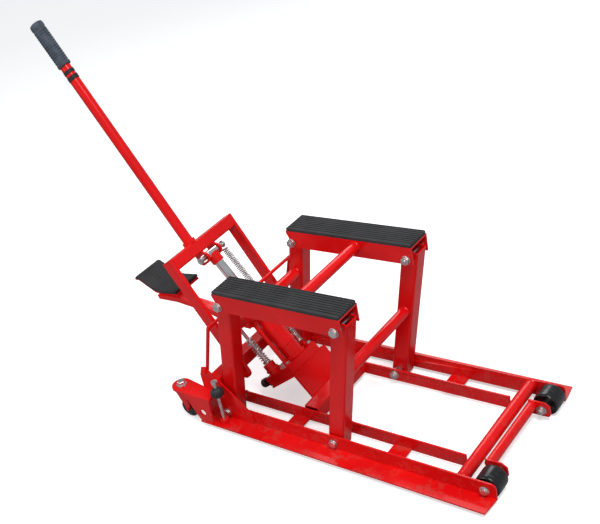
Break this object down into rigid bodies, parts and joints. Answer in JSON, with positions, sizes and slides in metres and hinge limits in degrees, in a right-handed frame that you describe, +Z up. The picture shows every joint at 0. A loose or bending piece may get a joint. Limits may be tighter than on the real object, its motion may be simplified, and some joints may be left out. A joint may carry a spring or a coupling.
{
  "type": "paddock stand",
  "caption": "Red hydraulic lift stand: a low wheeled base, parallel legs with two padded saddles, a foot pedal, a ram and a long handle",
  "frame": {"origin": "centre of the bounding box footprint, on the floor", "axes": "+X towards the fixed front wheels, +Y to the left side, +Z up"},
  "size_m": [1.1447, 0.438, 0.9534],
  "materials": {
    "red_paint": "glossy sprayed enamel",
    "pad_rubber": "ribbed matte rubber",
    "tyre_rubber": "smooth black rubber, slightly glossy",
    "grip_rubber": "slate grey soft rubber",
    "zinc_steel": "zinc plated, satin",
    "chrome": "polished chrome",
    "black_plastic": "matte black moulded plastic"
  },
  "bodies": {
    "base": {"rear_cross_tube": "red_paint", "front_cross_tube": "red_paint", "front_bridge": "red_paint", "unit_cross_tube": "red_paint", "cylinder": "red_paint", "base_casting": "red_paint", "unit_bracket": "red_paint", "pump_barrel": "red_paint", "return_spring": "zinc_steel", "pump_spring": "zinc_steel", "outer_rail_left": "red_paint", "inner_rail_left": "red_paint", "caster_bracket_left": "red_paint", "axle_bolt_left": "zinc_steel", "lower_pivot_bolt_front_left": "zinc_steel", "lower_pivot_bolt_rear_left": "zinc_steel", "outer_rail_right": "red_paint", "inner_rail_right": "red_paint", "caster_bracket_right": "red_paint", "axle_bolt_right": "zinc_steel", "lower_pivot_bolt_front_right": "zinc_steel", "lower_pivot_bolt_rear_right": "zinc_steel"},
    "rear_legs": {"rear_leg_left": "red_paint", "rear_leg_right": "red_paint", "rear_leg_brace": "red_paint"},
    "front_legs": {"front_leg_left": "red_paint", "front_leg_right": "red_paint", "front_leg_brace": "red_paint"},
    "saddle_frame": {"saddle_cross_tube": "red_paint", "saddle_left": "red_paint", "saddle_pad_left": "pad_rubber", "upper_pivot_bolt_front_left": "zinc_steel", "upper_pivot_bolt_rear_left": "zinc_steel", "saddle_right": "red_paint", "saddle_pad_right": "pad_rubber", "upper_pivot_bolt_front_right": "zinc_steel", "upper_pivot_bolt_rear_right": "zinc_steel"},
    "link_frame": {"link_bar_left": "red_paint", "link_bar_right": "red_paint", "link_crossbar": "red_paint"},
    "handle": {"handle_tube": "red_paint", "handle_grip": "grip_rubber"},
    "ram": {"ram_rod": "chrome", "clevis_pin": "zinc_steel"},
    "plunger": {"pump_plunger": "chrome"},
    "pedal": {"pedal_arm": "red_paint", "pedal_pad": "pad_rubber"},
    "release_valve": {"release_knob": "black_plastic"},
    "lock_bar": {"lock_bar": "red_paint"},
    "front_wheel_left": {"front_wheel_left": "tyre_rubber"},
    "caster_fork_left": {"caster_fork_left": "red_paint"},
    "caster_wheel_left": {"caster_wheel_left": "tyre_rubber"},
    "floor_screw_left": {"floor_screw_left": "zinc_steel", "floor_screw_knob_left": "black_plastic"},
    "front_wheel_right": {"front_wheel_right": "tyre_rubber"},
    "caster_fork_right": {"caster_fork_right": "red_paint"},
    "caster_wheel_right": {"caster_wheel_right": "tyre_rubber"},
    "floor_screw_right": {"floor_screw_right": "zinc_steel", "floor_screw_knob_right": "black_plastic"}
  },
  "joints": [
    {"name": "lift_swing", "type": "hinge", "parent": "base", "child": "rear_legs", "pos_m": [-0.12765, 0, 0.0285], "axis": [0, 1, 0], "range_deg": [0, 68]},
    {"name": "front_leg_swing", "type": "hinge", "parent": "base", "child": "front_legs", "pos_m": [0.18135, 0, 0.0285], "axis": [0, 1, 0], "range_deg": [0, 68.5]},
    {"name": "saddle_level", "type": "hinge", "parent": "rear_legs", "child": "saddle_frame", "pos_m": [-0.05857, 0, 0.3563], "axis": [0, 1, 0], "range_deg": [-68.5, 0]},
    {"name": "link_level", "type": "hinge", "parent": "rear_legs", "child": "link_frame", "pos_m": [-0.09513, 0, 0.11882], "axis": [0, 1, 0], "range_deg": [-68.5, 0]},
    {"name": "ram_slide", "type": "slide", "parent": "base", "child": "ram", "axis": [0.5906, 0, -0.807], "range_m": [0, 0.109], "deforming": ["return_spring"]},
    {"name": "handle_pull", "type": "slide", "parent": "link_frame", "child": "handle", "axis": [-0.4894, 0, 0.8721], "range_m": [0, 0.03]},
    {"name": "pedal_press", "type": "hinge", "parent": "base", "child": "pedal", "pos_m": [-0.10265, -0.04, 0.212], "axis": [0, 1, 0], "range_deg": [-12, 0], "stiffness_Nm_per_rad": 30, "springref_deg": 14.32},
    {"name": "plunger_slide", "type": "slide", "parent": "base", "child": "plunger", "axis": [0.5906, 0, -0.807], "range_m": [0, 0.015], "deforming": ["pump_spring"]},
    {"name": "release_turn", "type": "hinge", "parent": "base", "child": "release_valve", "pos_m": [-0.09195, -0.046, 0.0414], "axis": [0.807, 0, 0.5906], "range_deg": [0, 90]},
    {"name": "lock_bar_swing", "type": "hinge", "parent": "base", "child": "lock_bar", "pos_m": [-0.16765, 0, 0.143], "axis": [0, 1, 0], "range_deg": [0, 7]},
    {"name": "front_wheel_turn_left", "type": "hinge", "parent": "base", "child": "front_wheel_left", "pos_m": [0.54435, 0.143, 0.028], "axis": [0, 1, 0], "continuous": true},
    {"name": "caster_swivel_left", "type": "hinge", "parent": "base", "child": "caster_fork_left", "pos_m": [-0.25265, 0.19, 0.084], "axis": [0, 0, 1], "continuous": true},
    {"name": "caster_roll_left", "type": "hinge", "parent": "caster_fork_left", "child": "caster_wheel_left", "pos_m": [-0.23865, 0.19, 0.025], "axis": [0, 1, 0], "continuous": true},
    {"name": "floor_screw_lift_left", "type": "slide", "parent": "base", "child": "floor_screw_left", "axis": [0, 0, 1], "range_m": [0, 0.004]},
    {"name": "front_wheel_turn_right", "type": "hinge", "parent": "base", "child": "front_wheel_right", "pos_m": [0.54435, -0.143, 0.028], "axis": [0, 1, 0], "continuous": true},
    {"name": "caster_swivel_right", "type": "hinge", "parent": "base", "child": "caster_fork_right", "pos_m": [-0.25265, -0.19, 0.084], "axis": [0, 0, 1], "continuous": true},
    {"name": "caster_roll_right", "type": "hinge", "parent": "caster_fork_right", "child": "caster_wheel_right", "pos_m": [-0.23865, -0.19, 0.025], "axis": [0, 1, 0], "continuous": true},
    {"name": "floor_screw_lift_right", "type": "slide", "parent": "base", "child": "floor_screw_right", "axis": [0, 0, 1], "range_m": [0, 0.004]}
  ],
  "couplings": [
    {"joint": "front_leg_swing", "follows": "lift_swing", "ratio": 1},
    {"joint": "saddle_level", "follows": "lift_swing", "ratio": -1},
    {"joint": "link_level", "follows": "lift_swing", "ratio": -1},
    {"joint": "ram_slide", "follows": "lift_swing", "m_per_rad": 0.091},
    {"joint": "plunger_slide", "follows": "pedal_press", "m_per_rad": -0.07}
  ]
}
